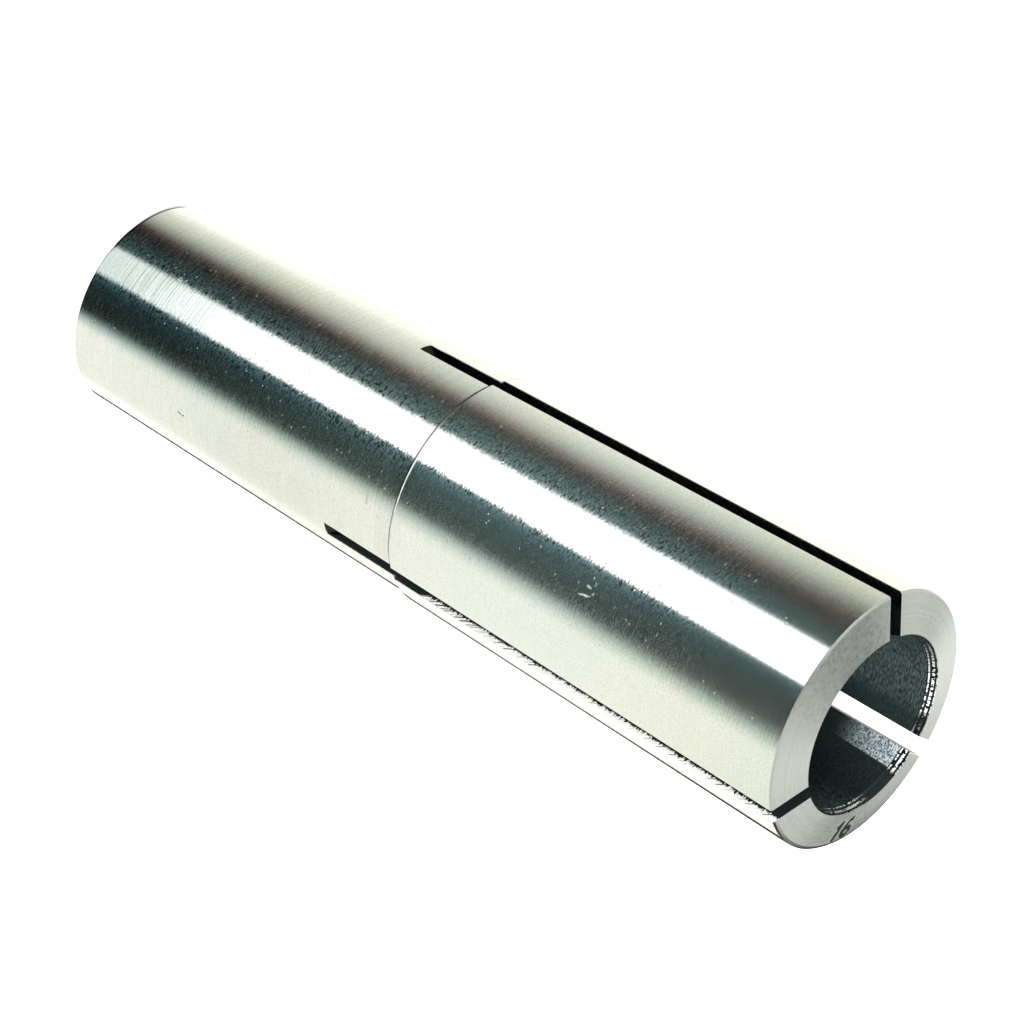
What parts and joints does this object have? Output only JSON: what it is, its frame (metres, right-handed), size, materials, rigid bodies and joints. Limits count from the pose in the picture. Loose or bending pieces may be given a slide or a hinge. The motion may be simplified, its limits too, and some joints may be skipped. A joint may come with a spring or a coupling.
{
  "type": "morse taper collet",
  "caption": "Tapered steel collet with a straight gripping bore, long saw slots that part the front into jaws, and a tapped drawbar hole in its small end.",
  "frame": {"origin": "centre of the small end, where the collet stands", "axes": "+Z along the bore axis from the small end to the mouth; +Y through the middle of one slot"},
  "size_m": [0.024, 0.024, 0.086],
  "materials": {
    "ground_steel": "hardened tool steel, ground round the axis to a fine satin"
  },
  "bodies": {
    "root": {"collet_body": "ground_steel"}
  },
  "joints": []
}
